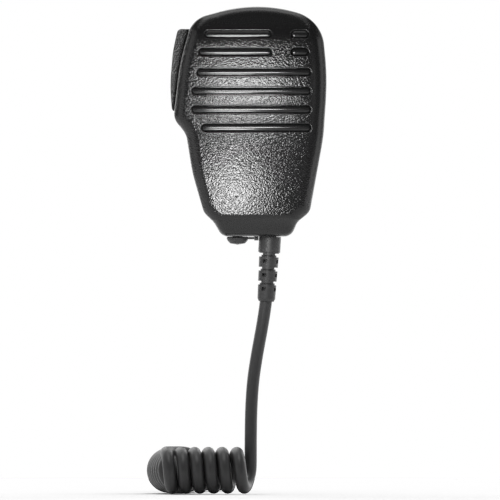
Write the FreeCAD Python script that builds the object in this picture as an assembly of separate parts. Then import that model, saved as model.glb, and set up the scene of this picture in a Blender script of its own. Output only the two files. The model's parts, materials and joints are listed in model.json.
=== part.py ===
import FreeCAD, Part
import math
import os

from FreeCAD import Vector

# Hand microphone with a curly cord, clip and two-pin plug. Millimetres.
# Origin: where the back clip's jaw grips. +X right, +Z up, -Y the way the grille faces.

# ---- case ----
front_y = -31.5
back_y = -4.5
parting_y = -17.5
case_bottom = -25.0
wall = 2.0
edge_round = 4.0
# outline seen from the front, clockwise from the top: x, z, corner radius
case_outline = [
    (0.0, 57.2, 50), (22.6, 50.8, 13), (24.6, 30.5, 90), (23.3, 10.0, 60), (18.5, -16.4, 5.0),
    (14.1, -19.9, 5), (12.0, case_bottom, 3.8), (-12.2, case_bottom, 3.8), (-15.0, -20.1, 7),
    (-18.6, -16.6, 5.0), (-22.7, -2.5, 60), (-24.8, 10.9, 8), (-29.2, 16.3, 5), (-27.0, 35.6, 80),
    (-22.7, 50.9, 9),
]
# outline seen from the side: y, z, corner radius
case_profile = [
    (front_y, -18.2, 2.5), (front_y, 45, 16), (-27.5, 58, 0), (-8, 58, 0), (back_y, 45, 14),
    (back_y, -12, 6), (-10.5, -27, 0), (-24.8, -27, 0),
]

# ---- grille ----
slot_width = 2.9
slot_lip_round = 0.35
grille_floor_y = front_y + 1.3
membrane_thickness = 0.5
# rows of slots: z, then the left and right ends of each slot
grille_rows = [
    (45.5, [(-18.5, 5.2), (11.8, 18.2)]), (39.4, [(-20.6, 5.2), (11.8, 18.2)]), (32.3, [(-21.3, 19.0)]),
    (25.7, [(-23.1, 19.0)]), (19.2, [(-23.1, 19.0)]), (12.8, [(-19.6, 19.0)]),
]

# ---- speaker and microphone capsule ----
speaker_x, speaker_z = -2.5, 26.0
speaker_radius = 18.0
speaker_y = grille_floor_y + membrane_thickness + 0.8
speaker_clearance, speaker_rim_wall, speaker_seat_depth = 0.15, 1.25, 1.6
speaker_screw_radius, speaker_screw_head_radius, speaker_screw_head_height = 0.8, 2.2, 1.0
cone_travel_gap = 0.5
motor_drop, motor_radius, magnet_radius = 6.6, 9.0, 6.6
voice_coil_radius, voice_coil_inner_radius, voice_coil_length = 7.35, 6.9, 3.2
capsule_x, capsule_z = 15.0, 42.0
capsule_y = front_y + 2.8
capsule_radius, capsule_depth = 4.85, 6.0
grommet_radius = capsule_radius + 0.7

# ---- circuit board ----
board_y = -16.3
board_thickness = 1.6
board_box = (-18.8, 14.5, -7.0, 42.0)
board_screw_places = [(-12.0, 39.0), (11.0, 38.5), (-11.0, -3.5)]
board_post_radius = 2.2
small_screw_radius, board_screw_head_radius, board_screw_head_height = 0.9, 1.8, 1.3
thread_depth = 6.0

# ---- case screws ----
case_screw_places = [(-13.2, 47.2), (19.0, 35.0), (-14.6, -12.0), (14.4, -12.0)]
boss_radius = 2.75
case_screw_radius, case_screw_hole_radius = 1.0, 1.35
case_screw_head_radius, case_screw_head_height, case_screw_sink = 2.3, 1.6, 4.0
insert_radius, insert_far, insert_near = 1.6, 5.5, 0.5

# ---- push-to-talk lever ----
ptt_half_width = 5.6
ptt_gap = 0.35
ptt_outline = [
    (-27.7, 47.5, 1.6), (-29.4, 40.0, 40), (-30.5, 27.0, 60), (-29.7, 18.8, 1.2), (-22.0, 18.8, 0),
    (-18.0, 30.0, 0), (-18.0, 47.5, 0),
]
ptt_flange_reach = 1.6
ptt_inner_inset = 3.3
pivot_x, pivot_z, pivot_radius = -24.6, 21.0, 0.75
pivot_pin_reach, pivot_rib_start = 9.2, 7.4
pivot_rib_half, pivot_lug_half = 1.8, 1.7
pad_half_width, pad_low_z, pad_high_z = 3.9, 22.0, 40.0
return_spring_z, return_spring_x = 44.0, (-20.7, -18.4)
plunger_y, plunger_z, plunger_radius = -18.8, 36.0, 1.2
switch_box = (-21.2, -16.2, 33.0, 39.0)

# ---- earphone jack and its cap ----
jack_x = -6.8
jack_bore_radius = 1.8
jack_mouth_z = -23.7
jack_hole_radius, boot_hole_radius, peg_hole_radius = 3.25, 3.05, 0.8
jack_top_z = -10.0
cap_radius = 3.85
peg_x = -0.3
hinge_x, hinge_z = -1.4, -25.6

# ---- strain relief and cord ----
cord_radius = 2.2
boot_x, boot_end_x, boot_end_z = 4.6, 3.2, -47.75
boot_radius, boot_end_radius = 3.85, 3.1
collar_length = 5.6
first_slit_drop, slit_pitch, slit_height = 5.9, 4.9, 0.65
window_drop, window_turn = 2.2, -22
groove_floor_radius = 2.65
cord_entry_top, clamp_z = -13.0, -16.2
clamp_screw_offset, clamp_half_height = 4.9, 2.0
boot_bore_gap = 0.04
floor_z = -115.1
coil_radius = 8.2
coil_axis_y = -24.0
coil_axis_z = floor_z + coil_radius
lead_route = [
    (boot_end_x, parting_y, boot_end_z), (1.85, parting_y, -56.5), (-0.07, -17.6, -66.65),
    (-1.4, -17.8, -75.4), (-2.0, -17.9, -84.5), (-2.17, -18.0, -93.25), (-2.2, -18.0, -101.0),
]
coil_right_x, coil_turn_x, coil_turn_radius = -0.3, -21.0, 12.0
coil_far_y = 76.0
tail_route = [
    (-31.0, 74.0, -112.5), (-30.0, 92.0, -112.7), (-26.0, 110.0, -112.4), (-22.0, 127.0, -111.4),
    (-20.6, 143.0, -110.4),
]

# ---- plug ----
plug_x, plug_z = -20.5, -110.4
plug_start_y = 143.0
plug_boot_length = 12.0
plug_body_length = 17.0
pin_spacing = 11.0
large_pin_radius, large_pin_length = 1.75, 14.0
small_pin_radius, small_pin_length = 1.25, 11.0

# ---- clip ----
swivel_z = 20.0
hub_radius = 9.7
plate_thickness = 1.6
clip_half_width = 8.2
clip_pin_y, clip_pin_z, clip_pin_radius = 4.5, 30.0, 1.25
clip_screw_radius = 2.0
stud_radius, stud_post_radius = 3.2, 5.0


def rounded_wire(points, place):
    """Closed outline of straight runs and tangent arcs from corner points with radii."""
    flat = [Vector(u, v, 0) for u, v, radius in points]
    edges = []
    ends = []
    for number, corner in enumerate(flat):
        radius = points[number][2]
        before = (flat[number - 1] - corner).normalize()
        after = (flat[(number + 1) % len(flat)] - corner).normalize()
        half = before.getAngle(after) / 2
        back = radius / math.tan(half)
        start = corner + before * back
        end = corner + after * back
        if radius:
            middle = corner + (before + after).normalize() * (radius / math.sin(half) - radius)
            edges.append(Part.Arc(place(start), place(middle), place(end)).toShape())
        ends.append((start, end))
    for number, pair in enumerate(ends):
        edges.append(Part.LineSegment(place(ends[number - 1][1]), place(pair[0])).toShape())
    return Part.Wire(Part.__sortEdges__(edges))


def front_plate(points, low_y, high_y):
    wire = rounded_wire(points, lambda p: Vector(p.x, low_y, p.y))
    return Part.Face(wire).extrude(Vector(0, high_y - low_y, 0))


def side_plate(points, low_x, high_x):
    wire = rounded_wire(points, lambda p: Vector(low_x, p.x, p.y))
    return Part.Face(wire).extrude(Vector(high_x - low_x, 0, 0))


def box(low_x, high_x, low_y, high_y, low_z, high_z):
    corner = Vector(low_x, low_y, low_z)
    return Part.makeBox(high_x - low_x, high_y - low_y, high_z - low_z, corner)


def rod_y(x, z, radius, low_y, high_y):
    return Part.makeCylinder(radius, high_y - low_y, Vector(x, low_y, z), Vector(0, 1, 0))


def rod_z(x, y, radius, low_z, high_z):
    return Part.makeCylinder(radius, high_z - low_z, Vector(x, y, low_z), Vector(0, 0, 1))


def rod_x(y, z, radius, low_x, high_x):
    return Part.makeCylinder(radius, high_x - low_x, Vector(low_x, y, z), Vector(1, 0, 0))


def ring_y(x, z, outer, inner, low_y, high_y):
    return rod_y(x, z, outer, low_y, high_y).cut(rod_y(x, z, inner, low_y, high_y))


def rod_between(start, end, radius):
    span = Vector(*end) - Vector(*start)
    return Part.makeCylinder(radius, span.Length, Vector(*start), span)


def turned_y(x, z, points):
    """Solid of revolution about a line along Y: points are radius, y."""
    corners = [Vector(x + radius, y, z) for radius, y in points]
    wire = Part.makePolygon(corners + corners[:1])
    return Part.Face(wire).revolve(Vector(x, 0, z), Vector(0, 1, 0), 360)


def turned_z(x, y, points):
    """Solid of revolution about a vertical line: points are radius, z."""
    corners = [Vector(x + radius, y, z) for radius, z in points]
    wire = Part.makePolygon(corners + corners[:1])
    return Part.Face(wire).revolve(Vector(x, y, 0), Vector(0, 0, 1), 360)


def tube(name, route, radius):
    """Round tube along straight runs joined by tangent arcs as large as the runs allow."""
    points = [Vector(*point) for point in route]
    edges = []
    last = points[0]
    for before, corner, after in zip(points, points[1:], points[2:]):
        to_before = before - corner
        to_after = after - corner
        shorter = min(to_before.Length, to_after.Length)
        half_turn = (math.pi - to_before.getAngle(to_after)) / 2
        bend = 0.45 * shorter / math.tan(half_turn)
        print(name, "bend radius", round(bend, 1))
        start = corner + to_before.normalize() * (0.45 * shorter)
        end = corner + to_after.normalize() * (0.45 * shorter)
        middle_way = (to_before + to_after).normalize()
        middle = corner + middle_way * (bend / math.cos(half_turn) - bend)
        edges.append(Part.LineSegment(last, start).toShape())
        edges.append(Part.Arc(start, middle, end).toShape())
        last = end
    edges.append(Part.LineSegment(last, points[-1]).toShape())
    path = Part.Wire(edges)
    section = Part.Wire(Part.makeCircle(radius, points[0], points[1] - points[0]))
    solid = path.makePipeShell([section], True, False)
    print(name, "volume over section times length", solid.Volume / (math.pi * radius**2 * path.Length))
    return solid


def fuse(shapes):
    return shapes[0].fuse(shapes[1:]).removeSplitter()


def save(name, shape):
    solids = shape.Solids
    good = all(solid.isValid() for solid in solids)
    print(name, len(solids), "solids", "valid" if good else "INVALID", round(shape.Volume, 1))
    whole = solids[0] if len(solids) == 1 else Part.makeCompound(solids)
    whole.exportStep("parts/" + name + ".step")


# ---- case shells ----
def case_block(inset):
    outline = rounded_wire(case_outline, lambda p: Vector(p.x, front_y - 1, p.y))
    profile = rounded_wire(case_profile, lambda p: Vector(-40, p.x, p.y))
    outline_face = Part.Face(outline)
    profile_face = Part.Face(profile)
    if inset:
        outline_face = outline_face.makeOffset2D(-inset)
        profile_face = profile_face.makeOffset2D(-inset)
    depth = outline_face.extrude(Vector(0, back_y - front_y + 2, 0))
    return depth.common(profile_face.extrude(Vector(80, 0, 0))).Solids[0]


def is_side_wall(face):
    low_u, high_u, low_v, high_v = face.ParameterRange
    return abs(face.normalAt((low_u + high_u) / 2, (low_v + high_v) / 2).y) < 0.0001


def round_edges(block, front):
    """Round the rim between the side wall and the front or the back face."""
    rim = []
    for edge in block.Edges:
        faces = block.ancestorsOfType(edge, Part.Face)
        between = len(faces) == 2 and is_side_wall(faces[0]) != is_side_wall(faces[1])
        if between and (edge.CenterOfMass.y < parting_y) == front:
            rim.append(edge)
    return block.makeFillet(edge_round, rim)


def front_half(shape):
    return shape.common(box(-60, 60, -60, parting_y, -60, 80))


def rear_half(shape):
    return shape.common(box(-60, 60, parting_y, 60, -60, 80))


def slot(row_z, left, right, low_y, high_y):
    half = slot_width / 2
    centre = box(left + half, right - half, low_y, high_y, row_z - half, row_z + half)
    ends = [rod_y(x, row_z, half, low_y, high_y) for x in (left + half, right - half)]
    return fuse([centre] + ends)


def openings_in_case():
    """Side window for the push-to-talk lever and the holes in the chin."""
    grown = Part.Face(rounded_wire(ptt_outline, lambda p: Vector(p.x, 0, p.y))).makeOffset2D(ptt_gap)
    half = ptt_half_width + ptt_gap
    window = grown.extrude(Vector(0, 2 * half, 0)).translate(Vector(0, parting_y - half, 0))
    return [
        window,
        rod_z(jack_x, parting_y, jack_hole_radius, case_bottom - 5, case_bottom + 3),
        rod_z(boot_x, parting_y, boot_hole_radius, case_bottom - 5, case_bottom + 3),
        rod_z(peg_x, parting_y, peg_hole_radius, case_bottom - 5, case_bottom + 3),
    ]


def membrane_outline(inset):
    return [
        (-23.6 + inset, 7.4 + inset, 3), (20.4 - inset, 7.4 + inset, 3), (20.4 - inset, 38.0, 3),
        (18.0 - inset, 47.8 - inset, 3), (-19.0 + inset, 48.4 - inset, 4), (-24.2 + inset, 32.0, 6),
    ]


def pivot_rib(low_y, high_y):
    """Block in the case that holds one end of the push-to-talk pin."""
    half = pivot_rib_half
    return box(pivot_x - 1.6, pivot_x + 1.6, low_y, high_y, pivot_z - half, pivot_z + half)


def front_case():
    outer = front_half(round_edges(case_block(0), True))
    shell = outer.cut(front_half(case_block(wall)))
    bosses = [rod_y(x, z, boss_radius, front_y + 1.5, parting_y) for x, z in case_screw_places]
    seat_y = speaker_y + speaker_seat_depth
    rim_inner = speaker_radius + speaker_clearance
    rim = ring_y(speaker_x, speaker_z, rim_inner + speaker_rim_wall, rim_inner, front_y + 1.8, seat_y)
    speaker_posts = [rod_y(x, z, 1.5, front_y + 1.5, seat_y) for x, z in speaker_screw_places()]
    ribs = bosses + speaker_posts + [rim, pivot_rib(front_y + 1.8, parting_y - pivot_rib_start)]
    shell = fuse([shell] + [piece.common(outer) for piece in ribs])
    cuts = openings_in_case()
    cuts.append(front_plate(membrane_outline(0), grille_floor_y, front_y + wall + 0.1))
    cuts.append(rod_y(pivot_x, pivot_z, pivot_radius, parting_y - pivot_pin_reach - 0.2, parting_y))
    for row_z, spans in grille_rows:
        for left, right in spans:
            cuts.append(slot(row_z, left, right, front_y - 5, grille_floor_y + 0.1))
    for x, z in case_screw_places:
        cuts.append(rod_y(x, z, insert_radius, parting_y - insert_far - 0.5, parting_y + 1))
    for x, z in speaker_screw_places():
        cuts.append(rod_y(x, z, speaker_screw_radius, speaker_y - 0.4, speaker_y + 2))
    cuts.append(rod_y(speaker_x, speaker_z, rim_inner, front_y + wall, speaker_y + 5))
    cuts.append(rod_y(capsule_x, capsule_z, grommet_radius + 0.05, capsule_y - 0.05, capsule_y + 9))
    return round_slot_lips(shell.cut(cuts))


def round_slot_lips(shell):
    """Round the outer lips of the grille's slots."""
    lips = []
    for edge in shell.Edges:
        bounds = edge.BoundBox
        centre = edge.CenterOfMass
        outer = bounds.YMax < grille_floor_y - 0.3
        small = bounds.ZLength < slot_width + 0.1
        if not (outer and small and abs(centre.x) < 24):
            continue
        if any(abs(centre.z - row_z) < slot_width / 2 + 0.05 for row_z, spans in grille_rows):
            lips.append(edge)
    return shell.makeFillet(slot_lip_round, lips)


def rear_case():
    outer = rear_half(round_edges(case_block(0), False))
    shell = outer.cut(rear_half(case_block(wall)))
    ribs = [rod_y(x, z, boss_radius, parting_y, back_y) for x, z in case_screw_places]
    post_y = board_y + board_thickness
    ribs += [rod_y(x, z, board_post_radius, post_y, back_y) for x, z in board_screw_places]
    ribs.append(rod_y(0, swivel_z, stud_post_radius, parting_y + 4.5, back_y))
    ribs.append(rod_y(0, swivel_z, hub_radius + 2.0, back_y - 3.2, back_y))
    ribs.append(box(boot_x - 6.8, boot_x + 6.8, parting_y, back_y, clamp_z - 2.2, clamp_z + 2.2))
    ribs.append(pivot_rib(parting_y + pivot_rib_start, back_y))
    spring_seat = box(-18.4, -16.6, parting_y - 2.0, back_y, return_spring_z - 1.7, return_spring_z + 1.7)
    spring_seat = spring_seat.common(case_block(wall))
    shell = fuse([shell] + [piece.common(outer) for piece in ribs] + [spring_seat])
    cuts = openings_in_case()
    cuts.append(rod_y(0, swivel_z, hub_radius + 0.25, back_y - 1.2, back_y + 1))
    cuts.append(rod_y(0, swivel_z, stud_radius, parting_y + 4.0, back_y + 1))
    cuts.append(rod_z(boot_x, parting_y, cord_radius, -19, -13))
    cuts.append(rod_y(pivot_x, pivot_z, pivot_radius, parting_y, parting_y + pivot_pin_reach + 0.2))
    for x in clamp_screw_x():
        cuts.append(rod_y(x, clamp_z, small_screw_radius, parting_y - 1, parting_y + thread_depth))
    for x, z in board_screw_places:
        cuts.append(rod_y(x, z, small_screw_radius, board_y, board_y + thread_depth))
    for x, z in case_screw_places:
        cuts.append(rod_y(x, z, case_screw_hole_radius, parting_y - 1, back_y + 1))
        cuts.append(rod_y(x, z, case_screw_head_radius + 0.2, back_y - case_screw_sink, back_y + 1))
    return shell.cut(cuts).cut(gasket_band())


def gasket_band():
    outline = Part.Face(rounded_wire(case_outline, lambda p: Vector(p.x, parting_y, p.y)))
    band = outline.makeOffset2D(-0.5).cut(outline.makeOffset2D(-1.5))
    return band.extrude(Vector(0, 0.8, 0))


def case_gasket():
    return gasket_band().cut(openings_in_case())


def case_screws():
    screws = []
    for x, z in case_screw_places:
        head_y = back_y - case_screw_sink
        head = rod_y(x, z, case_screw_head_radius, head_y, head_y + case_screw_head_height)
        for half_x, half_z in ((1.6, 0.3), (0.3, 1.6)):
            head = head.cut(box(x - half_x, x + half_x, head_y + 0.8, back_y, z - half_z, z + half_z))
        screws.append(fuse([head, rod_y(x, z, case_screw_radius, parting_y - insert_far, head_y)]))
    return Part.makeCompound(screws)


def case_inserts():
    low_y, high_y = parting_y - insert_far, parting_y - insert_near
    return Part.makeCompound([
        ring_y(x, z, insert_radius, case_screw_radius, low_y, high_y) for x, z in case_screw_places])


# ---- speaker ----
def grille_membrane():
    return front_plate(membrane_outline(0.15), grille_floor_y, grille_floor_y + membrane_thickness)


def speaker_gasket():
    return ring_y(speaker_x, speaker_z, speaker_radius, 15.6, speaker_y - 0.8, speaker_y)


def speaker_frame():
    y = speaker_y
    profile = [
        (15.9, y), (18.0, y), (18.0, y + 1.0), (16.9, y + 1.2), (11.2, y + 5.8), (11.2, y + 6.6),
        (7.7, y + 6.6), (7.7, y + 5.8), (10.4, y + 5.8), (15.9, y + 1.2),
    ]
    frame = turned_y(speaker_x, speaker_z, profile)
    for number in range(4):
        window = box(speaker_x + 11.6, speaker_x + 15.4, y + 1.8, y + 5.0, speaker_z - 4.0, speaker_z + 4.0)
        window.rotate(Vector(speaker_x, 0, speaker_z), Vector(0, 1, 0), 45 + 90 * number)
        frame = frame.cut(window)
    return frame


def speaker_yoke():
    y = speaker_y + motor_drop
    pot = ring_y(speaker_x, speaker_z, motor_radius, magnet_radius + 1.0, y, y + 3.2)
    return pot.fuse(rod_y(speaker_x, speaker_z, motor_radius, y + 3.2, y + 4.0))


def speaker_magnet():
    y = speaker_y + motor_drop
    return rod_y(speaker_x, speaker_z, magnet_radius, y + 1.0, y + 3.2)


def speaker_pole_plate():
    y = speaker_y + motor_drop
    return rod_y(speaker_x, speaker_z, magnet_radius, y + 0.2, y + 1.0)


def speaker_cone():
    y = speaker_y + cone_travel_gap
    profile = [
        (13.6, y + 0.4), (13.6, y + 0.8), (7.4, y + 3.9), (7.0, y + 3.9), (7.0, y + 3.6), (13.2, y + 0.4),
    ]
    return turned_y(speaker_x, speaker_z, profile)


def speaker_dust_cap():
    y = speaker_y + cone_travel_gap + 3.6
    dome = Part.makeSphere(10.0, Vector(speaker_x, y + 7.2, speaker_z))
    inner = Part.makeSphere(9.7, Vector(speaker_x, y + 7.2, speaker_z))
    return dome.cut(inner).common(rod_y(speaker_x, speaker_z, 6.95, y - 3.0, y))


def speaker_voice_coil():
    y = speaker_y + cone_travel_gap + 3.9
    low_y, high_y = y, y + voice_coil_length
    return ring_y(speaker_x, speaker_z, voice_coil_radius, voice_coil_inner_radius, low_y, high_y)


def speaker_surround():
    y = speaker_y + cone_travel_gap
    return ring_y(speaker_x, speaker_z, 15.8, 13.6, y + 0.1, y + 0.5)


def speaker_screw_places():
    places = []
    for angle in (90, 205, 330):
        turn = math.radians(angle)
        reach = speaker_radius + 1.7
        places.append((speaker_x + reach * math.cos(turn), speaker_z + reach * math.sin(turn)))
    return places


def speaker_screws():
    screws = []
    for x, z in speaker_screw_places():
        seat_y = speaker_y + speaker_seat_depth
        head = rod_y(x, z, speaker_screw_head_radius, seat_y, seat_y + speaker_screw_head_height)
        screws.append(fuse([head, rod_y(x, z, speaker_screw_radius, speaker_y - 0.4, seat_y)]))
    return Part.makeCompound(screws)


# ---- microphone capsule ----
def mic_capsule():
    y = capsule_y + 0.5
    can = rod_y(capsule_x, capsule_z, capsule_radius, y, y + capsule_depth)
    return can.cut(rod_y(capsule_x, capsule_z, 0.8, y, y + 0.6))


def mic_grommet():
    y = capsule_y
    seat_y = y + 0.5
    cup = rod_y(capsule_x, capsule_z, grommet_radius, y, y + capsule_depth + 1.2)
    cup = cup.cut(rod_y(capsule_x, capsule_z, capsule_radius, seat_y, seat_y + capsule_depth))
    return cup.cut(rod_y(capsule_x, capsule_z, 2.5, y, seat_y))


# ---- circuit board ----
def circuit_board():
    low_x, high_x, low_z, high_z = board_box
    outline = [(low_x, low_z, 1), (high_x, low_z, 1), (high_x, high_z, 1), (low_x, high_z, 1)]
    board = front_plate(outline, board_y, board_y + board_thickness)
    return board.cut([rod_y(x, z, 1.1, board_y - 1, board_y + 3) for x, z in board_screw_places])


def board_screws():
    screws = []
    for x, z in board_screw_places:
        head = rod_y(x, z, board_screw_head_radius, board_y - board_screw_head_height, board_y)
        screws.append(fuse([head, rod_y(x, z, small_screw_radius, board_y, board_y + thread_depth)]))
    return Part.makeCompound(screws)


def board_chips():
    chips = [(-6.0, 2.0, 4.0, 3.0), (6.5, 1.5, 3.0, 3.0), (-8.5, -1.5, 1.0, 0.6), (12.0, 3.0, 1.0, 0.6)]
    return Part.makeCompound([
        box(x - half_x, x + half_x, board_y - 1.2, board_y, z - half_z, z + half_z)
        for x, z, half_x, half_z in chips])


def board_capacitors():
    places = [(-13.5, 3.0, 2.2), (12.0, -3.0, 2.0)]
    return Part.makeCompound([rod_y(x, z, radius, board_y - 5.0, board_y) for x, z, radius in places])


def wire_header():
    shell = box(-1.0, 8.0, board_y - 4.0, board_y, -6.5, -3.0)
    return shell.cut(box(-0.4, 7.4, board_y - 3.4, board_y - 0.6, -6.5, -4.0))


def inner_wires():
    wires = []
    for number in range(4):
        offset = 0.9 * number - 1.35
        start = (boot_x + offset, parting_y, cord_entry_top + 0.1)
        wires.append(rod_between(start, (3.5 + 2.0 * offset, board_y - 2.0, -4.3), 0.35))
    return Part.makeCompound(wires)


# ---- push-to-talk ----
def case_layer(low_inset, high_inset, half_width, low_z, high_z):
    """A slice of the case outline between two insets, as a curved plate."""
    outline = Part.Face(rounded_wire(case_outline, lambda p: Vector(p.x, parting_y - half_width, p.y)))
    outer = outline.makeOffset2D(-low_inset)
    layer = outer.cut(outline.makeOffset2D(-high_inset)).extrude(Vector(0, 2 * half_width, 0))
    return layer.common(box(-40, -15, -60, 60, low_z, high_z))


def ptt_button():
    half = ptt_half_width
    blank = front_plate(ptt_outline, parting_y - half, parting_y + half)
    outline = Part.Face(rounded_wire(case_outline, lambda p: Vector(p.x, -60, p.y)))
    blank = blank.cut(outline.makeOffset2D(-ptt_inner_inset).extrude(Vector(0, 90, 0)))
    flange = case_layer(wall + 0.3, ptt_inner_inset, half + ptt_flange_reach, 24.0, 47.4)
    low_z, high_z = pivot_z - pivot_lug_half, pivot_z + pivot_lug_half
    lug = box(pivot_x - 1.6, pivot_x + 1.6, parting_y - half, parting_y + half, low_z, high_z)
    arm = box(pivot_x - 3.0, pivot_x, parting_y - half, parting_y + half, low_z, high_z)
    nub = box(-24.4, -23.0, plunger_y - 1.2, plunger_y + 1.2, plunger_z - 1.2, plunger_z + 1.2)
    lever = fuse([blank, flange, lug, arm, nub])
    lever = lever.cut(rod_y(pivot_x, pivot_z, pivot_radius + 0.05, parting_y - 9, parting_y + 9))
    return lever.cut(ptt_pad())


def ptt_pad():
    low_y, high_y = parting_y - pad_half_width, parting_y + pad_half_width
    inner = [(-28.2, pad_low_z, 1), (-28.4, 30.0, 20), (-27.4, pad_high_z, 1)]
    pad = front_plate([(-40, pad_low_z, 0)] + inner + [(-40, pad_high_z, 0)], low_y, high_y)
    skin = front_plate(ptt_outline, low_y, high_y)
    return pad.common(skin)


def ptt_pivot_pin():
    return rod_y(pivot_x, pivot_z, pivot_radius, parting_y - pivot_pin_reach, parting_y + pivot_pin_reach)


def ptt_switch_body():
    low_x, high_x, low_z, high_z = switch_box
    body = box(low_x, high_x, board_y - 5.0, board_y, low_z, high_z)
    return body.cut(rod_x(plunger_y, plunger_z, plunger_radius + 0.05, low_x, low_x + 3.4))


def ptt_switch_plunger():
    return rod_x(plunger_y, plunger_z, plunger_radius, -22.8, switch_box[0] + 1.4)


def ptt_return_spring():
    low_x, high_x = return_spring_x
    outer = rod_x(parting_y, return_spring_z, 1.5, low_x, high_x)
    return outer.cut(rod_x(parting_y, return_spring_z, 1.1, low_x, high_x))


# ---- earphone jack ----
def jack_body():
    top = jack_top_z
    profile = [
        (jack_bore_radius, jack_mouth_z), (jack_bore_radius, top - 1.0), (0, top - 1.0), (0, top),
        (3.6, top), (3.6, -22.9), (3.2, -22.9), (3.2, -24.7), (2.4, -24.7), (2.4, jack_mouth_z),
    ]
    return turned_z(jack_x, parting_y, profile)


def jack_terminals():
    tags = []
    for x in (jack_x - 2.2, jack_x, jack_x + 2.2):
        tags.append(box(x - 0.3, x + 0.3, parting_y - 0.8, parting_y + 0.8, jack_top_z, jack_top_z + 1.8))
    return Part.makeCompound(tags)


def jack_cap():
    top = case_bottom - 0.12
    profile = [
        (0, -23.85), (1.5, -23.85), (1.8, top), (cap_radius - 0.3, top), (cap_radius, top - 0.4),
        (cap_radius - 0.35, top - 1.3), (2.6, top - 2.3), (0, top - 2.75),
    ]
    return turned_z(jack_x, parting_y, profile)


def jack_cap_tether():
    strip = box(jack_x + 3.3, -0.98, parting_y - 1.4, parting_y + 1.4, case_bottom - 1.0, case_bottom - 0.2)
    bend = rod_y(hinge_x, hinge_z, 0.42, parting_y - 1.2, parting_y + 1.2)
    return fuse([strip.cut(jack_cap()), bend])


def jack_cap_peg():
    head = box(-0.95, 0.55, parting_y - 1.6, parting_y + 1.6, case_bottom - 1.4, case_bottom)
    stem = rod_z(peg_x, parting_y, 0.8, case_bottom, case_bottom + 2.1)
    barb = turned_z(peg_x, parting_y, [(0, -22.95), (1.05, -22.95), (0.6, -21.6), (0, -21.6)])
    return fuse([head, stem, barb])


# ---- strain relief and clamp ----
def clamp_screw_x():
    return (boot_x - clamp_screw_offset, boot_x + clamp_screw_offset)


def boot_axis():
    top = Vector(boot_x, parting_y, case_bottom)
    return top, (Vector(boot_end_x, parting_y, boot_end_z) - top).normalize()


def cord_boot():
    top, down = boot_axis()
    length = (Vector(boot_end_x, parting_y, boot_end_z) - top).Length
    collar = Part.makeCylinder(boot_radius, collar_length, top, down)
    sleeve = Part.makeCone(boot_radius - 0.25, boot_end_radius, length - 1.0, top, down)
    below_chin = box(-20, 20, -40, 0, -60, case_bottom)
    tip = Part.makeCone(boot_end_radius, boot_end_radius - 0.5, 1.0, top + down * (length - 1.0), down)
    neck = rod_z(boot_x, parting_y, 3.0, case_bottom, case_bottom + 2.1)
    flange = rod_z(boot_x, parting_y, 3.7, case_bottom + 2.1, case_bottom + 3.6)
    boot = fuse([fuse([collar, sleeve, tip]).common(below_chin), neck, flange])
    bore = cord_radius + boot_bore_gap
    boot = boot.cut([cord_core(bore), rod_z(boot_x, parting_y, bore, -26, -20)])
    cuts = []
    for number in range(3):
        level = top + down * (first_slit_drop + slit_pitch * number)
        for turn in (90, 270):
            cuts.append(boot_slit(level, turn, 5.6, slit_height))
        for quarter in range(4):
            cuts.append(boot_slit(level + down * window_drop, window_turn + 90 * quarter, 1.6, 1.2))
        groove_start = level + down * slit_height
        groove = Part.makeCylinder(boot_radius + 1, slit_height, groove_start, down)
        cuts.append(groove.cut(Part.makeCylinder(groove_floor_radius, slit_height, groove_start, down)))
    return boot.cut(cuts)


def boot_slit(level, turn, width, height):
    """A flexing slit through one side of the strain relief, turned about its axis."""
    down = boot_axis()[1]
    slit = Part.makeBox(width, 3.0, height, Vector(-width / 2, 1.9, -height))
    slit.rotate(Vector(0, 0, 0), Vector(0, 0, 1), turn)
    slit.rotate(Vector(0, 0, 0), Vector(0, 1, 0), math.degrees(math.asin(-down.x)))
    return slit.translate(level)


def cord_core(radius):
    top, down = boot_axis()
    return Part.makeCylinder(radius, 24.0, top - down * 0.5, down)


def cord_entry():
    top, down = boot_axis()
    length = (Vector(boot_end_x, parting_y, boot_end_z) - top).Length
    lower = Part.makeCylinder(cord_radius, length, top, down)
    joint = Part.makeSphere(cord_radius, top)
    return fuse([lower, joint, rod_z(boot_x, parting_y, cord_radius, case_bottom, cord_entry_top)])


def cord_clamp():
    low_z, high_z = clamp_z - clamp_half_height, clamp_z + clamp_half_height
    plate = box(boot_x - 6.6, boot_x + 6.6, parting_y - 1.0, parting_y, low_z, high_z)
    arch = rod_z(boot_x, parting_y, cord_radius + 1.0, low_z, high_z)
    arch = arch.common(box(-20, 20, -40, parting_y, -40, 0))
    saddle = fuse([plate, arch]).cut(rod_z(boot_x, parting_y, cord_radius, -30, 0))
    return saddle.cut([rod_y(x, clamp_z, 1.0, -30, 0) for x in clamp_screw_x()])


def cord_clamp_screws():
    screws = []
    for x in clamp_screw_x():
        head = rod_y(x, clamp_z, 1.6, parting_y - 2.2, parting_y - 1.0)
        screws.append(fuse([head, rod_y(x, clamp_z, small_screw_radius, parting_y - 1.0, parting_y + 5.5)]))
    return Part.makeCompound(screws)


# ---- curly cord ----
def cord_coil():
    corner_y = coil_axis_y + coil_turn_radius
    far_x = coil_turn_x - coil_turn_radius
    slant = coil_turn_radius * math.sqrt(0.5)
    start = Vector(coil_right_x, coil_axis_y, coil_axis_z)
    turn_start = Vector(coil_turn_x, coil_axis_y, coil_axis_z)
    turn_middle = Vector(coil_turn_x - slant, corner_y - slant, coil_axis_z)
    turn_end = Vector(far_x, corner_y, coil_axis_z)
    far = Vector(far_x, coil_far_y, coil_axis_z)
    path = Part.Wire([
        Part.LineSegment(start, turn_start).toShape(),
        Part.Arc(turn_start, turn_middle, turn_end).toShape(),
        Part.LineSegment(turn_end, far).toShape(),
    ])
    section = Part.Wire(Part.makeCircle(coil_radius, start, Vector(1, 0, 0)))
    return path.makePipeShell([section], True, False)


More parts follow.
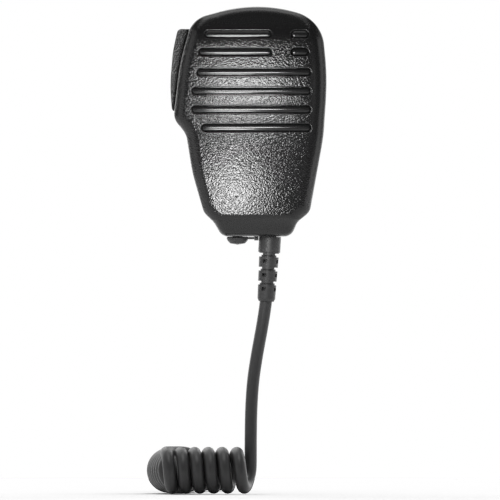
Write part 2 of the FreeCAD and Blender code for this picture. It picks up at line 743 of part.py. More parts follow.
# ---- plug ----
def plug_boot():
    start = plug_start_y
    profile = [(0, start), (2.8, start), (3.9, start + plug_boot_length), (0, start + plug_boot_length)]
    return turned_y(plug_x, plug_z, profile)


def plug_body():
    low_y = plug_start_y + plug_boot_length
    half = pin_spacing / 2 + 4.2
    outline = [(plug_x - half, plug_z - 4.5, 2), (plug_x + half, plug_z - 4.5, 2),
               (plug_x + half, plug_z + 4.5, 2), (plug_x - half, plug_z + 4.5, 2)]
    return front_plate(outline, low_y, low_y + plug_body_length)


def pin_face_y():
    return plug_start_y + plug_boot_length + plug_body_length


def pin_pieces(x, radius, length):
    """Sleeve, two insulating rings with the ring contact between them, and the tip of one pin."""
    y = pin_face_y()
    sleeve_end = y + 0.6 * length
    ring_end = y + 0.76 * length
    sleeve = rod_y(x, plug_z, radius, y, sleeve_end)
    spacer = rod_y(x, plug_z, radius, sleeve_end, sleeve_end + 0.6)
    contact = rod_y(x, plug_z, radius, sleeve_end + 0.6, ring_end)
    spacer_two = rod_y(x, plug_z, radius, ring_end, ring_end + 0.6)
    tip = turned_y(x, plug_z, [
        (0, ring_end + 0.6), (0.7 * radius, ring_end + 0.6), (radius, ring_end + 1.5),
        (0.25 * radius, y + length), (0, y + length)])
    return sleeve, contact, tip, [spacer, spacer_two]


# ---- clip ----
def clip_insert():
    return ring_y(0, swivel_z, stud_radius, clip_screw_radius, parting_y + 5.0, back_y - 1.25)


def clip_hub():
    hub = rod_y(0, swivel_z, hub_radius, back_y - 1.15, -plate_thickness)
    return hub.cut(rod_y(0, swivel_z, clip_screw_radius + 0.08, -20, 5))


def clip_base():
    half = clip_half_width
    outline = [(-half, -4.0, 4), (half, -4.0, 4), (half, 40.0, 5), (-half, 40.0, 5)]
    plate = front_plate(outline, -plate_thickness, 0)
    ear = [
        (-plate_thickness, 24.5, 0), (0, 24.5, 0), (7.3, 28.0, 2), (7.3, 32.5, 2), (0, 37.0, 0),
        (-plate_thickness, 37.0, 0),
    ]
    ears = [side_plate(ear, low, low + 1.2) for low in (-half, half - 1.2)]
    base = fuse([plate] + ears)
    return base.cut([
        rod_y(0, swivel_z, clip_screw_radius + 0.08, -20, 5),
        rod_x(clip_pin_y, clip_pin_z, clip_pin_radius, -20, 20)])


def clip_lever():
    half = clip_half_width - 1.5
    arm = [
        (0.1, -1.6, 0.3), (1.8, -3.0, 1), (8.8, 3.2, 5), (9.6, 30.0, 20), (13.4, 43.6, 0.9),
        (11.7, 44.2, 0.9), (7.7, 30.4, 20), (6.9, 4.9, 3), (0.1, 1.2, 0.3),
    ]
    bar = side_plate(arm, -half, half)
    cheek = [(9.2, 26.5, 0.5), (9.2, 33.5, 0.5), (3.4, 32.6, 1.5), (2.4, 30.0, 1.5), (3.4, 27.4, 1.5)]
    cheeks = [side_plate(cheek, low, low + 1.2) for low in (-half, half - 1.2)]
    lever = fuse([bar] + cheeks)
    return lever.cut(rod_x(clip_pin_y, clip_pin_z, clip_pin_radius + 0.05, -20, 20))


def clip_pin():
    half = clip_half_width
    heads = [rod_x(clip_pin_y, clip_pin_z, 2.0, low, low + 0.5) for low in (-half - 0.5, half)]
    return fuse([rod_x(clip_pin_y, clip_pin_z, clip_pin_radius, -half, half)] + heads)


def clip_spring():
    return rod_x(clip_pin_y, clip_pin_z, 2.5, -4.6, 4.6).cut(rod_x(clip_pin_y, clip_pin_z, 1.6, -5, 5))


def clip_washer():
    return ring_y(0, swivel_z, 3.8, clip_screw_radius, 0.05, 0.55)


def clip_screw():
    head = rod_y(0, swivel_z, 3.4, 0.55, 2.3)
    for turn in (0, 90):
        slit = box(-2.2, 2.2, 1.3, 2.6, swivel_z - 0.4, swivel_z + 0.4)
        slit.rotate(Vector(0, 0, swivel_z), Vector(0, 1, 0), turn)
        head = head.cut(slit)
    return fuse([head, rod_y(0, swivel_z, clip_screw_radius, -12.0, 0.55)])


def main():
    os.makedirs("parts", exist_ok=True)
    makers = [
        front_case, rear_case, case_gasket, case_screws, case_inserts, grille_membrane, speaker_gasket,
        speaker_frame, speaker_yoke, speaker_magnet, speaker_pole_plate, speaker_cone, speaker_dust_cap,
        speaker_voice_coil, speaker_surround, speaker_screws, mic_capsule, mic_grommet, circuit_board,
        board_screws, board_chips, board_capacitors, wire_header, inner_wires, ptt_button, ptt_pad,
        ptt_pivot_pin, ptt_switch_body, ptt_switch_plunger, ptt_return_spring, jack_body, jack_terminals,
        jack_cap, jack_cap_tether, jack_cap_peg, cord_boot, cord_entry, cord_clamp, cord_clamp_screws,
        cord_coil, plug_boot, plug_body, clip_insert, clip_hub, clip_base, clip_lever, clip_pin,
        clip_spring, clip_washer, clip_screw,
    ]
    for maker in makers:
        save(maker.__name__, maker())
    save("cord_lead", tube("cord_lead", lead_route, cord_radius))
    save("cord_tail", tube("cord_tail", tail_route, cord_radius))
    large = pin_pieces(plug_x - pin_spacing / 2, large_pin_radius, large_pin_length)
    small = pin_pieces(plug_x + pin_spacing / 2, small_pin_radius, small_pin_length)
    for size, pieces in (("large", large), ("small", small)):
        for label, piece in zip(("sleeve", "ring", "tip"), pieces):
            save("plug_" + size + "_" + label, piece)
    save("plug_insulators", Part.makeCompound(large[3] + small[3]))


main()
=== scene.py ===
import json
import math

import bmesh
import bpy
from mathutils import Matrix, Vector


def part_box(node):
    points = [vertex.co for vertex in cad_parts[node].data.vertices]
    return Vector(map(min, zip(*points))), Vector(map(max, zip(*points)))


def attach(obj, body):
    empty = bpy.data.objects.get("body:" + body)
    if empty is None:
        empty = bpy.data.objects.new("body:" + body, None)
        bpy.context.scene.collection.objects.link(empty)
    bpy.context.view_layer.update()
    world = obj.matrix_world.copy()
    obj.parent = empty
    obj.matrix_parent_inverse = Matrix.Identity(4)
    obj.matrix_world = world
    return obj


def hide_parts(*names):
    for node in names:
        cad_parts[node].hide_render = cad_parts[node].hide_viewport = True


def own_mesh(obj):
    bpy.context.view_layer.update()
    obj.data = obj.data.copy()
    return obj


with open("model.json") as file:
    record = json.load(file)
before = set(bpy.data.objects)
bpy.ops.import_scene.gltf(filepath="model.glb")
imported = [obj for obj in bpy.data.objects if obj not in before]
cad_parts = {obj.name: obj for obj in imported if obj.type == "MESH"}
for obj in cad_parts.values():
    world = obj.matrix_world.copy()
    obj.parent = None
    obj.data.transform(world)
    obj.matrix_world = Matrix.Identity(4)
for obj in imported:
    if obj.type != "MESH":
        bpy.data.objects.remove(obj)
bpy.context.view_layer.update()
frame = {"nodes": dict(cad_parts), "record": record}
nodes = frame["nodes"]
scene = bpy.context.scene

MM = 0.001


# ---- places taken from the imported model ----
case_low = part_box("front_case")[0]
floor_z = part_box("cord_coil")[0].z


# ---- shader maths ----
class Value:
    """A shader socket that can stand in a Python expression."""

    def __init__(self, paint, socket):
        self.paint = paint
        self.socket = socket

    def maths(self, operation, first, second):
        return self.paint.node("ShaderNodeMath", {"operation": operation}, {0: first, 1: second})

    def __add__(self, other):
        return self.maths("ADD", self, other)

    __radd__ = __add__

    def __sub__(self, other):
        return self.maths("SUBTRACT", self, other)

    def __rsub__(self, other):
        return self.maths("SUBTRACT", other, self)

    def __mul__(self, other):
        return self.maths("MULTIPLY", self, other)

    __rmul__ = __mul__

    def at_least(self, other):
        return self.maths("MAXIMUM", self, other)


class Paint:
    """A material with one Principled shader, built node by node."""

    def __init__(self, name, **constants):
        self.material = bpy.data.materials.new(name)
        self.material.use_nodes = True
        self.tree = self.material.node_tree
        self.shader = self.tree.nodes["Principled BSDF"]
        for key, value in constants.items():
            self.shader.inputs[key.replace("_", " ")].default_value = value
        self.place = self.node("ShaderNodeTexCoord", output="Object")

    def node(self, kind, settings=None, inputs=None, output=0):
        made = self.tree.nodes.new(kind)
        for key, value in (settings or {}).items():
            if key == "stops":
                self.set_stops(made.color_ramp, value)
            else:
                setattr(made, key, value)
        for key, value in (inputs or {}).items():
            self.feed(made.inputs[key], value)
        return Value(self, made.outputs[output])

    def set_stops(self, ramp, stops):
        while len(ramp.elements) < len(stops):
            ramp.elements.new(0.5)
        for element, (position, shade) in zip(ramp.elements, stops):
            element.position = position
            element.color = shade if isinstance(shade, tuple) else (shade, shade, shade, 1)

    def feed(self, socket, value):
        if isinstance(value, Value):
            self.tree.links.new(value.socket, socket)
        else:
            socket.default_value = value

    def noise(self, scale, detail=2.0, roughness=0.5):
        return self.node("ShaderNodeTexNoise", None, {
            "Vector": self.place, "Scale": scale, "Detail": detail, "Roughness": roughness})

    def cells(self, scale, feature):
        return self.node("ShaderNodeTexVoronoi", {"feature": feature}, {
            "Vector": self.place, "Scale": scale})

    def ramp(self, value, stops):
        return self.node("ShaderNodeValToRGB", {"stops": stops}, {0: value})

    def mix_colour(self, mask, first, second):
        made = self.tree.nodes.new("ShaderNodeMix")
        made.data_type = "RGBA"
        self.feed(made.inputs["Factor"], mask)
        self.feed(made.inputs[6], first)
        self.feed(made.inputs[7], second)
        return Value(self, made.outputs[2])

    def axis(self, letter):
        return self.node("ShaderNodeSeparateXYZ", None, {0: self.place}, output=letter)

    def fade(self, value, none, full):
        """0 where the value is at none, 1 where it is at full, and smooth between."""
        return self.node("ShaderNodeMapRange", {"interpolation_type": "SMOOTHSTEP"}, {
            "Value": value, "From Min": none, "From Max": full})

    def colour(self, value):
        self.feed(self.shader.inputs["Base Color"], value)

    def roughness(self, value):
        self.feed(self.shader.inputs["Roughness"], value)

    def bump(self, height, distance):
        made = self.node("ShaderNodeBump", None, {
            "Height": height, "Distance": distance, "Strength": 1.0}, output="Normal")
        self.feed(self.shader.inputs["Normal"], made)


def grey(level):
    """A grey that leans slightly to blue, as black plastic does."""
    return (level, level, level * 1.02, 1.0)


# ---- camera and light ----
image_width = 0.175
view_drop = 4.75 * MM
view_centre = Vector((-2.45 * MM, -18.0 * MM, case_low.z - view_drop))
lens = 1500.0
sensor = 36.0
tilt = math.radians(-0.3)
fill_strength = 0.06
floor_half = 0.9
floor_gap = 0.2 * MM
# each light: name, place, the point it faces, its two sizes and its power
lights = [
    ("lower_softbox", (-0.0115, -0.088, -0.013), (-0.010, -0.03, -0.010), (0.02, 0.02), 0.040),
    ("upper_softbox", (-0.005, -0.090, 0.028), (-0.005, -0.03, 0.028), (0.035, 0.012), 0.042),
    ("top", (0.0, -0.10, 0.55), (0, -0.02, 0.0), (0.5, 0.3), 1.2),
    ("rear_left", (-0.40, 0.55, 0.30), (0, 0, 0.0), (0.8, 0.8), 4.5),
    ("rear_right", (0.45, 0.50, 0.15), (0, 0, 0.0), (0.7, 0.7), 3.5),
    ("rear_top", (0.0, 0.50, 0.60), (0, 0, 0.0), (0.9, 0.7), 3.5),
    ("left", (-0.5, -0.25, 0.1), (0, -0.02, 0.0), (0.5, 0.6), 0.8),
    ("right", (0.5, -0.10, 0.0), (0, -0.02, 0.0), (0.3, 0.5), 0.5),
]


def make_camera():
    """A camera far in front, so that the object is seen almost without perspective."""
    data = bpy.data.cameras.new("camera")
    data.lens = lens
    data.sensor_width = sensor
    reach = image_width * lens / sensor
    data.clip_start = 0.1
    data.clip_end = 4 * reach
    camera = bpy.data.objects.new("camera", data)
    scene.collection.objects.link(camera)
    back = Vector((0, -math.cos(tilt), math.sin(tilt)))
    camera.location = view_centre + back * reach
    camera.rotation_mode = "QUATERNION"
    camera.rotation_quaternion = (-back).to_track_quat("-Z", "Y")
    scene.camera = camera


def area_light(name, place, target, size, power):
    data = bpy.data.lights.new(name, "AREA")
    data.shape = "RECTANGLE"
    data.size, data.size_y = size
    data.energy = power
    light = bpy.data.objects.new(name, data)
    scene.collection.objects.link(light)
    light.location = place
    light.rotation_mode = "QUATERNION"
    light.rotation_quaternion = (Vector(target) - Vector(place)).to_track_quat("-Z", "Y")
    light.visible_camera = False


def make_studio():
    """A white ground for the camera, a weak fill for the light, and the lights themselves."""
    world = bpy.data.worlds.new("studio")
    world.use_nodes = True
    tree = world.node_tree
    backdrop = tree.nodes["Background"]
    backdrop.inputs["Color"].default_value = (1, 1, 1, 1)
    backdrop.inputs["Strength"].default_value = 1.0
    fill = tree.nodes.new("ShaderNodeBackground")
    fill.inputs["Color"].default_value = (1, 1, 1, 1)
    fill.inputs["Strength"].default_value = fill_strength
    seen = tree.nodes.new("ShaderNodeLightPath")
    chosen = tree.nodes.new("ShaderNodeMixShader")
    tree.links.new(seen.outputs["Is Camera Ray"], chosen.inputs[0])
    tree.links.new(fill.outputs[0], chosen.inputs[1])
    tree.links.new(backdrop.outputs[0], chosen.inputs[2])
    tree.links.new(chosen.outputs[0], tree.nodes["World Output"].inputs["Surface"])
    scene.world = world
    scene.view_settings.view_transform = "Standard"
    for light in lights:
        area_light(*light)


def make_floor():
    """A white floor just under the cord that shows only the shadows on it."""
    low, high, level = -floor_half, floor_half, floor_z - floor_gap
    mesh = bpy.data.meshes.new("floor")
    corners = [(low, low, level), (high, low, level), (high, high, level), (low, high, level)]
    mesh.from_pydata(corners, [], [(0, 1, 2, 3)])
    floor = bpy.data.objects.new("floor", mesh)
    scene.collection.objects.link(floor)
    paint = Paint("floor_white", Roughness=0.9)
    paint.colour((0.9, 0.9, 0.9, 1))
    mesh.materials.append(paint.material)
    floor.is_shadow_catcher = True


make_camera()
make_studio()
make_floor()


# ---- the curly cord ----
cord_radius = 0.0022
lead_route = [
    (0.00335, -0.0175, -0.0453), (0.0032, -0.0175, -0.04775), (0.00185, -0.0175, -0.0565),
    (-0.00007, -0.0176, -0.06665), (-0.0014, -0.0178, -0.0754), (-0.0020, -0.0179, -0.0845),
    (-0.00217, -0.0180, -0.09325), (-0.0022, -0.0180, -0.0990),
]
tail_route = [
    (-0.0230, 0.0770, -0.1126), (-0.0245, 0.0830, -0.1129), (-0.0248, 0.0920, -0.1129),
    (-0.0240, 0.1100, -0.1126), (-0.0215, 0.1270, -0.1115), (-0.0206, 0.1430, -0.1104),
    (-0.0205, 0.1470, -0.1104),
]
coil_axis_y = -0.024
coil_turn_radius = 0.0060
coil_start_x, coil_corner_x = -0.0022, -0.0320
front_turns = 5.75
# the first turns stand a little apart from the straight lead and close up further on
opening_way, opening_rate, opening_turns = 0.0019, 2.0, 5.0
lean_way = 0.00025
# the strand goes over the last front turn and back, and then winds the far turns behind it
corner_steps = [(0.0000, 0.0040), (0.0006, 0.0084), (0.0034, 0.0110)]
far_start, far_end = (-0.0260, -0.0128), (-0.0259, 0.0738)
far_bow = 0.0050
far_turns = 16.35
# the far turns are this much narrower after the given share of them
far_narrowing, narrowing_share = 0.0003, 0.25
coil_clearance = 0.00012
points_per_turn = 16
# the spline runs inside its points' circle by this share
spline_shrink = 0.981


def turn_point(centre_x, centre_y, right, turn, radius):
    """Point of a helix that lies on the floor, a number of turns after its right side."""
    angle = 2 * math.pi * turn
    control = radius / spline_shrink
    centre = Vector((centre_x, centre_y, floor_z + cord_radius + radius + coil_clearance))
    return centre + right * control * math.cos(angle) - Vector((0, 0, control * math.sin(angle)))


def coil_points():
    """Points of the curly stretch: the front turns, the corner strand and the far turns."""
    points = []
    for step in range(round(front_turns * points_per_turn) + 1):
        turn = step / points_per_turn
        opening = opening_way * (1 - math.exp(-opening_rate * turn)) * max(0.0, 1 - turn / opening_turns)
        lean = lean_way * math.sin(2 * math.pi * turn)
        reach = (coil_start_x - coil_corner_x) * turn / front_turns + opening + lean
        centre_x = coil_start_x - reach
        points.append(turn_point(centre_x, coil_axis_y, Vector((0, 1, 0)), turn, coil_turn_radius))
    corner = points[-1]
    for right_way, back_way in corner_steps:
        points.append(corner + Vector((right_way, back_way, 0)))
    steps = round(far_turns * points_per_turn)
    for step in range(steps + 1):
        part = step / steps
        turn = front_turns + far_turns * part
        bow = far_bow * math.sin(math.pi * part)
        centre_x = far_start[0] + (far_end[0] - far_start[0]) * part - bow
        centre_y = far_start[1] + (far_end[1] - far_start[1]) * part
        radius = coil_turn_radius - far_narrowing * min(1.0, part / narrowing_share)
        points.append(turn_point(centre_x, centre_y, Vector((1, 0, 0)), turn, radius))
    return points


def make_cord():
    """The whole cord as one spline, whose points' radius gives it its thickness."""
    data = bpy.data.curves.new("curly_cord", "CURVE")
    data.dimensions = "3D"
    data.bevel_depth = 1.0
    data.bevel_resolution = 5
    data.resolution_u = 3
    data.use_fill_caps = True
    spline = data.splines.new("NURBS")
    route = [Vector(point) for point in lead_route] + coil_points() + [Vector(point) for point in tail_route]
    spline.points.add(len(route) - 1)
    for point, place in zip(spline.points, route):
        point.co = (*place, 1)
        point.radius = cord_radius
    spline.order_u = 3
    spline.use_endpoint_u = True
    cord = bpy.data.objects.new("curly_cord", data)
    scene.collection.objects.link(cord)
    return cord


curly_cord = make_cord()
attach(curly_cord, "case")
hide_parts("cord_lead", "cord_coil", "cord_tail")


# ---- the crowned front ----
front_y = case_low.y
grille_floor_y = front_y + 1.3 * MM
crown_centre = (-0.0025, 0.014)
crown_half = (0.026, 0.040)
crown_drop = (0.0012, 0.0009)
crown_end_y = front_y + 5.5 * MM
shell_grid, floor_grid = 1.5 * MM, 3 * MM
weld_gap, sliver_edge = 1e-6, 1e-7
slot_half = 1.45 * MM
dome_height = 0.95 * MM
dome_gap, dome_sink, dome_step = 0.12 * MM, 0.15 * MM, 1.5 * MM
dome_arcs, dome_rings = 10, 7
# rows of slots: height, then the left and right ends of each slot
grille_rows = [
    (45.5, [(-18.5, 5.2), (11.8, 18.2)]), (39.4, [(-20.6, 5.2), (11.8, 18.2)]), (32.3, [(-21.3, 19.0)]),
    (25.7, [(-23.1, 19.0)]), (19.2, [(-23.1, 19.0)]), (12.8, [(-19.6, 19.0)]),
]
# every piece made here, with the slot of its finish
new_pieces = []


def crowned(place):
    """Where a point of the front goes when the flat face swells into a shallow dome."""
    part = min(1.0, max(0.0, (crown_end_y - place.y) / (crown_end_y - grille_floor_y)))
    weight = part * part * (3 - 2 * part)
    drop = 0.0
    for value, centre, half, depth in zip((place.x, place.z), crown_centre, crown_half, crown_drop):
        drop += depth * ((value - centre) / half) ** 2
    return Vector((place.x, place.y + drop * weight, place.z))


def welded(node):
    """A bmesh copy of a CAD node, its loose triangles joined into one skin."""
    source = nodes[node].data
    shell = bmesh.new()
    points = [shell.verts.new(vertex.co) for vertex in source.vertices]
    for polygon in source.polygons:
        corners = [points[index] for index in polygon.vertices]
        if len(set(corners)) > 2:
            shell.faces.new(corners)
    bmesh.ops.remove_doubles(shell, verts=shell.verts, dist=weld_gap)
    bmesh.ops.dissolve_degenerate(shell, edges=shell.edges, dist=sliver_edge)
    return shell


def cut_grid(shell, deepest_y, spacing):
    """Cuts the faces in front of a depth into a grid, so that they can bend."""
    for axis in (0, 2):
        values = [vertex.co[axis] for vertex in shell.verts]
        first = math.ceil(min(values) / spacing)
        last = math.floor(max(values) / spacing)
        direction = Vector((1, 0, 0)) if axis == 0 else Vector((0, 0, 1))
        for step in range(first, last + 1):
            faces = [face for face in shell.faces if all(v.co.y < deepest_y for v in face.verts)]
            edges = {edge for face in faces for edge in face.edges}
            corners = {vertex for face in faces for vertex in face.verts}
            bmesh.ops.bisect_plane(shell, geom=[*corners, *edges, *faces], dist=weld_gap,
                                   plane_co=direction * (step * spacing), plane_no=direction)


def finished(shell, name, body, node, crease=32):
    """Turns a bmesh into a piece that stands for a CAD node, smooth but for its creases."""
    for edge in shell.edges:
        edge.smooth = edge.is_manifold and edge.calc_face_angle(0) < math.radians(crease)
    for face in shell.faces:
        face.smooth = True
    mesh = bpy.data.meshes.new(name)
    shell.to_mesh(mesh)
    shell.free()
    piece = bpy.data.objects.new(name, mesh)
    scene.collection.objects.link(piece)
    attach(piece, body)
    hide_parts(node)
    entry = next(entry for entry in frame["record"]["subparts"] if entry["node"] == node)
    new_pieces.append((piece, entry["material_slot"]))
    return piece


def slot_dome(shell, left, right, level):
    """A low rounded bar that fills the bottom of one grille slot."""
    reach = slot_half - dome_gap
    start, end = left + slot_half, right - slot_half
    steps = max(2, round((end - start) / dome_step))
    along = [start + (end - start) * step / steps for step in range(steps + 1)]
    end_angles = [math.pi * k / dome_arcs for k in range(1, dome_arcs)]
    contour = [(x, 1.0, 0.0) for x in along]
    contour += [(end, math.cos(angle), math.sin(angle)) for angle in end_angles]
    contour += [(x, -1.0, 0.0) for x in reversed(along)]
    contour += [(start, -math.cos(angle), -math.sin(angle)) for angle in end_angles]
    previous = None
    for ring in range(dome_rings + 1):
        rise = math.pi / 2 * ring / dome_rings
        width = reach * math.cos(rise)
        depth = grille_floor_y + dome_sink - dome_height * math.sin(rise)
        points = [shell.verts.new((x + width * across, depth, level + width * up))
                  for x, up, across in contour]
        if previous is None:
            shell.faces.new(points)
        else:
            for k in range(len(points)):
                shell.faces.new((previous[k], points[k], points[k - 1], previous[k - 1]))
        previous = points


def make_grille_floor():
    """The glossy film behind the grille, with a rounded bar in each slot."""
    shell = welded("grille_membrane")
    cut_grid(shell, 0.0, floor_grid)
    for level, spans in grille_rows:
        for left, right in spans:
            slot_dome(shell, left * MM, right * MM, level * MM)
    bmesh.ops.remove_doubles(shell, verts=shell.verts, dist=weld_gap)
    bmesh.ops.recalc_face_normals(shell, faces=shell.faces)
    for vertex in shell.verts:
        vertex.co = crowned(vertex.co)
    return finished(shell, "grille_floor", "case", "grille_membrane")


def make_front_shell():
    """The front of the case with its face swollen into a shallow dome."""
    shell = welded("front_case")
    cut_grid(shell, crown_end_y, shell_grid)
    for vertex in shell.verts:
        vertex.co = crowned(vertex.co)
    return finished(shell, "front_shell", "case", "front_case")


# ---- wound springs ----
spring_points_per_turn = 24


def wound_spring(name, node, body, wire, turns):
    """A helical spring of round wire that fills the space of its plain CAD sleeve."""
    low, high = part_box(node)
    middle = (low + high) / 2
    radius = (high.z - low.z) / 2 - wire
    data = bpy.data.curves.new(name + "_path", "CURVE")
    data.dimensions = "3D"
    data.bevel_depth = 1.0
    data.bevel_resolution = 3
    data.use_fill_caps = True
    spline = data.splines.new("POLY")
    steps = turns * spring_points_per_turn
    spline.points.add(steps)
    for step, point in enumerate(spline.points):
        angle = 2 * math.pi * turns * step / steps
        x = low.x + wire + (high.x - low.x - 2 * wire) * step / steps
        point.co = (x, middle.y + radius * math.cos(angle), middle.z + radius * math.sin(angle), 1)
        point.radius = wire
    path = bpy.data.objects.new(name + "_path", data)
    scene.collection.objects.link(path)
    depsgraph = bpy.context.evaluated_depsgraph_get()
    mesh = bpy.data.meshes.new_from_object(path.evaluated_get(depsgraph))
    bpy.data.objects.remove(path)
    for polygon in mesh.polygons:
        polygon.use_smooth = True
    spring = bpy.data.objects.new(name, mesh)
    scene.collection.objects.link(spring)
    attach(spring, body)
    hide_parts(node)
    new_pieces.append((spring, "steel"))
    return spring


# ---- rolled speaker surround ----
roll_inner, roll_outer, roll_skin = 13.6 * MM, 15.55 * MM, 0.18 * MM
roll_flatness = 0.35
roll_arc_steps, roll_steps = 12, 96


def make_surround():
    """The half-round rubber roll between the cone and the speaker's frame."""
    low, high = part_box("speaker_surround")
    middle = (low + high) / 2
    half_width = (roll_outer - roll_inner) / 2
    crest = roll_inner + half_width
    arc = [math.pi * step / roll_arc_steps for step in range(roll_arc_steps + 1)]
    profile = []
    for thick in (0.0, roll_skin):
        reach = half_width - thick
        points = [(crest - reach * math.cos(angle), high.y - thick - roll_flatness * reach * math.sin(angle))
                  for angle in arc]
        profile += points if thick == 0.0 else points[::-1]
    shell = bmesh.new()
    rings = []
    for step in range(roll_steps):
        angle = 2 * math.pi * step / roll_steps
        rings.append([shell.verts.new((middle.x + r * math.cos(angle), y, middle.z + r * math.sin(angle)))
                      for r, y in profile])
    for step in range(roll_steps):
        here, there = rings[step], rings[(step + 1) % roll_steps]
        for k in range(len(profile)):
            shell.faces.new((here[k - 1], here[k], there[k], there[k - 1]))
    bmesh.ops.recalc_face_normals(shell, faces=shell.faces)
    return finished(shell, "speaker_roll", "speaker_cone", "speaker_surround")


make_front_shell()
make_grille_floor()
wound_spring("clip_torsion_spring", "clip_spring", "clip", 0.4 * MM, 9)
return_spring = wound_spring("button_return_spring", "ptt_return_spring", "ptt_lever", 0.15 * MM, 5)
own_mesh(return_spring)
make_surround()


# ---- materials ----
# where the grain of the face and the back fades in: the place with none, and the place with all of it
face_depth, back_depth = (-24.5 * MM, -28.0 * MM), (-8.0 * MM, -6.0 * MM)
face_side, face_top, face_bottom = (20.5 * MM, 17.5 * MM), (51.0 * MM, 46.5 * MM), (-19.0 * MM, -17.0 * MM)
rim_grain = 0.12


def grained_plastic():
    """Black moulded plastic, pebbled on the front and back and smoother round the rim."""
    paint = Paint("grained_plastic")
    x, y, z = (paint.axis(letter) for letter in "XYZ")
    front = paint.fade(y, *face_depth) * paint.fade(x, *face_side)
    front = front * paint.fade(z, *face_top) * paint.fade(z, *face_bottom)
    back = paint.fade(y, *back_depth)
    grain = front.at_least(back).at_least(rim_grain)
    pebbles = paint.cells(1850.0, "SMOOTH_F1")
    fine = paint.noise(2600.0, detail=1.0)
    height = (1.0 - pebbles) * 0.8 + fine * 0.5
    paint.bump(height * grain, 0.13 * MM)
    paint.colour(grey(0.006))
    paint.roughness(0.14 + fine * 0.1 + (1.0 - grain) * 0.1)
    return paint.material


def satin_plastic(name, level, rough, grain, depth):
    """Dark plastic with a light even texture."""
    paint = Paint(name)
    speckle = paint.noise(grain, detail=3.0)
    paint.colour(paint.mix_colour(speckle, grey(level * 0.85), grey(level * 1.15)))
    paint.roughness(rough + speckle * 0.12)
    paint.bump(speckle, depth)
    return paint.material


def glossy_film():
    """The smooth dark film at the bottom of the slots."""
    paint = Paint("glossy_film")
    paint.colour(grey(0.008))
    paint.roughness(0.13 + paint.noise(900.0) * 0.1)
    paint.bump(paint.noise(500.0, detail=1.0), 0.02 * MM)
    return paint.material


def rubber(name, level, rough):
    """Dull rubber with a little dust on it."""
    paint = Paint(name)
    dust = paint.noise(900.0, detail=3.0)
    paint.colour(paint.mix_colour(dust, grey(level * 0.8), grey(level * 1.2)))
    paint.roughness(rough + dust * 0.12)
    paint.bump(paint.noise(1800.0), 0.03 * MM)
    return paint.material


def metal(name, shade, rough):
    """Plain metal, slightly uneven in shade and gloss."""
    paint = Paint(name, Metallic=1.0)
    brushed = paint.noise(1500.0, detail=2.0)
    paint.colour(paint.mix_colour(brushed, tuple(0.85 * c for c in shade) + (1,), tuple(shade) + (1,)))
    paint.roughness(rough + brushed * 0.1)
    return paint.material


def winding(name, shade):
    """Fine enamelled wire laid side by side."""
    paint = Paint(name, Metallic=1.0)
    turns = paint.node("ShaderNodeTexWave", {"bands_direction": "Y"}, {
        "Vector": paint.place, "Scale": 1500.0, "Distortion": 0.4}, output="Fac")
    paint.colour(paint.mix_colour(turns, tuple(0.4 * c for c in shade) + (1,), tuple(shade) + (1,)))
    paint.roughness(0.3 + turns * 0.1)
    paint.bump(turns, 0.05 * MM)
    return paint.material


def coloured(name, dark, light, rough, grain=900.0):
    """A painted, printed or dyed surface that varies a little between two shades."""
    paint = Paint(name)
    patch = paint.noise(grain, detail=4.0, roughness=0.6)
    paint.colour(paint.mix_colour(paint.ramp(patch, [(0.35, 0.0), (0.65, 1.0)]), dark, light))
    paint.roughness(rough + patch * 0.15)
    paint.bump(patch, 0.02 * MM)
    return paint.material


def board():
    """Green solder resist over copper tracks."""
    paint = Paint("board")
    tracks = paint.cells(260.0, "DISTANCE_TO_EDGE")
    line = paint.ramp(tracks, [(0.05, 1.0), (0.09, 0.0)])
    paint.colour(paint.mix_colour(line, (0.01, 0.09, 0.035, 1), (0.03, 0.2, 0.07, 1)))
    paint.roughness(0.3 + line * 0.1)
    paint.bump(line, 0.03 * MM)
    return paint.material


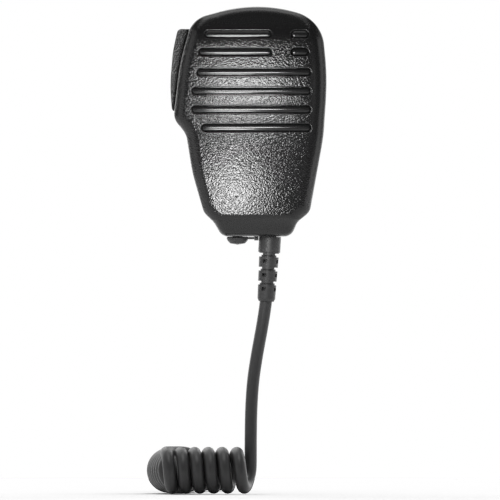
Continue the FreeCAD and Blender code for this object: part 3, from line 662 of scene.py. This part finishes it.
# satin plastics: brightness, roughness, grain scale and grain depth; rubbers and metals: shade and roughness
materials = {
    "case_plastic": grained_plastic(),
    "button_plastic": satin_plastic("button_plastic", 0.005, 0.20, 2300.0, 0.16 * MM),
    "pad_rubber": satin_plastic("pad_rubber", 0.010, 0.26, 1800.0, 0.12 * MM),
    "soft_rubber": rubber("soft_rubber", 0.028, 0.42),
    "cord_jacket": rubber("cord_jacket", 0.028, 0.42),
    "seal_rubber": rubber("seal_rubber", 0.015, 0.6),
    "grille_film": glossy_film(),
    "steel": metal("steel", (0.6, 0.6, 0.61), 0.28),
    "screw_steel": metal("screw_steel", (0.25, 0.25, 0.26), 0.3),
    "magnet": coloured("magnet", (0.02, 0.02, 0.022, 1), (0.05, 0.05, 0.055, 1), 0.55),
    "paper": coloured("paper", (0.035, 0.033, 0.03, 1), (0.07, 0.066, 0.06, 1), 0.8, 1800.0),
    "copper": winding("copper", (0.80, 0.38, 0.20)),
    "brass": metal("brass", (0.78, 0.58, 0.28), 0.25),
    "aluminium": metal("aluminium", (0.8, 0.8, 0.82), 0.35),
    "board": board(),
    "chip": coloured("chip", (0.015, 0.015, 0.016, 1), (0.025, 0.025, 0.026, 1), 0.45),
    "header_plastic": coloured("header_plastic", (0.62, 0.60, 0.52, 1), (0.74, 0.72, 0.64, 1), 0.45),
    "wire": coloured("wire", (0.25, 0.02, 0.02, 1), (0.35, 0.03, 0.03, 1), 0.4),
    "jack_plastic": satin_plastic("jack_plastic", 0.012, 0.35, 1200.0, 0.03 * MM),
    "clip_plastic": satin_plastic("clip_plastic", 0.012, 0.36, 1500.0, 0.10 * MM),
    "plug_plastic": satin_plastic("plug_plastic", 0.012, 0.33, 1500.0, 0.06 * MM),
    "pin_metal": metal("pin_metal", (0.85, 0.84, 0.80), 0.12),
    "insulator": coloured("insulator", (0.012, 0.012, 0.012, 1), (0.02, 0.02, 0.02, 1), 0.35),
}

# ---- finishes and the end ----
for entry in frame["record"]["subparts"]:
    mesh = nodes[entry["node"]].data
    mesh.materials.clear()
    mesh.materials.append(materials[entry["material_slot"]])
for piece, slot in [*new_pieces, (curly_cord, "cord_jacket")]:
    piece.data.materials.append(materials[slot])
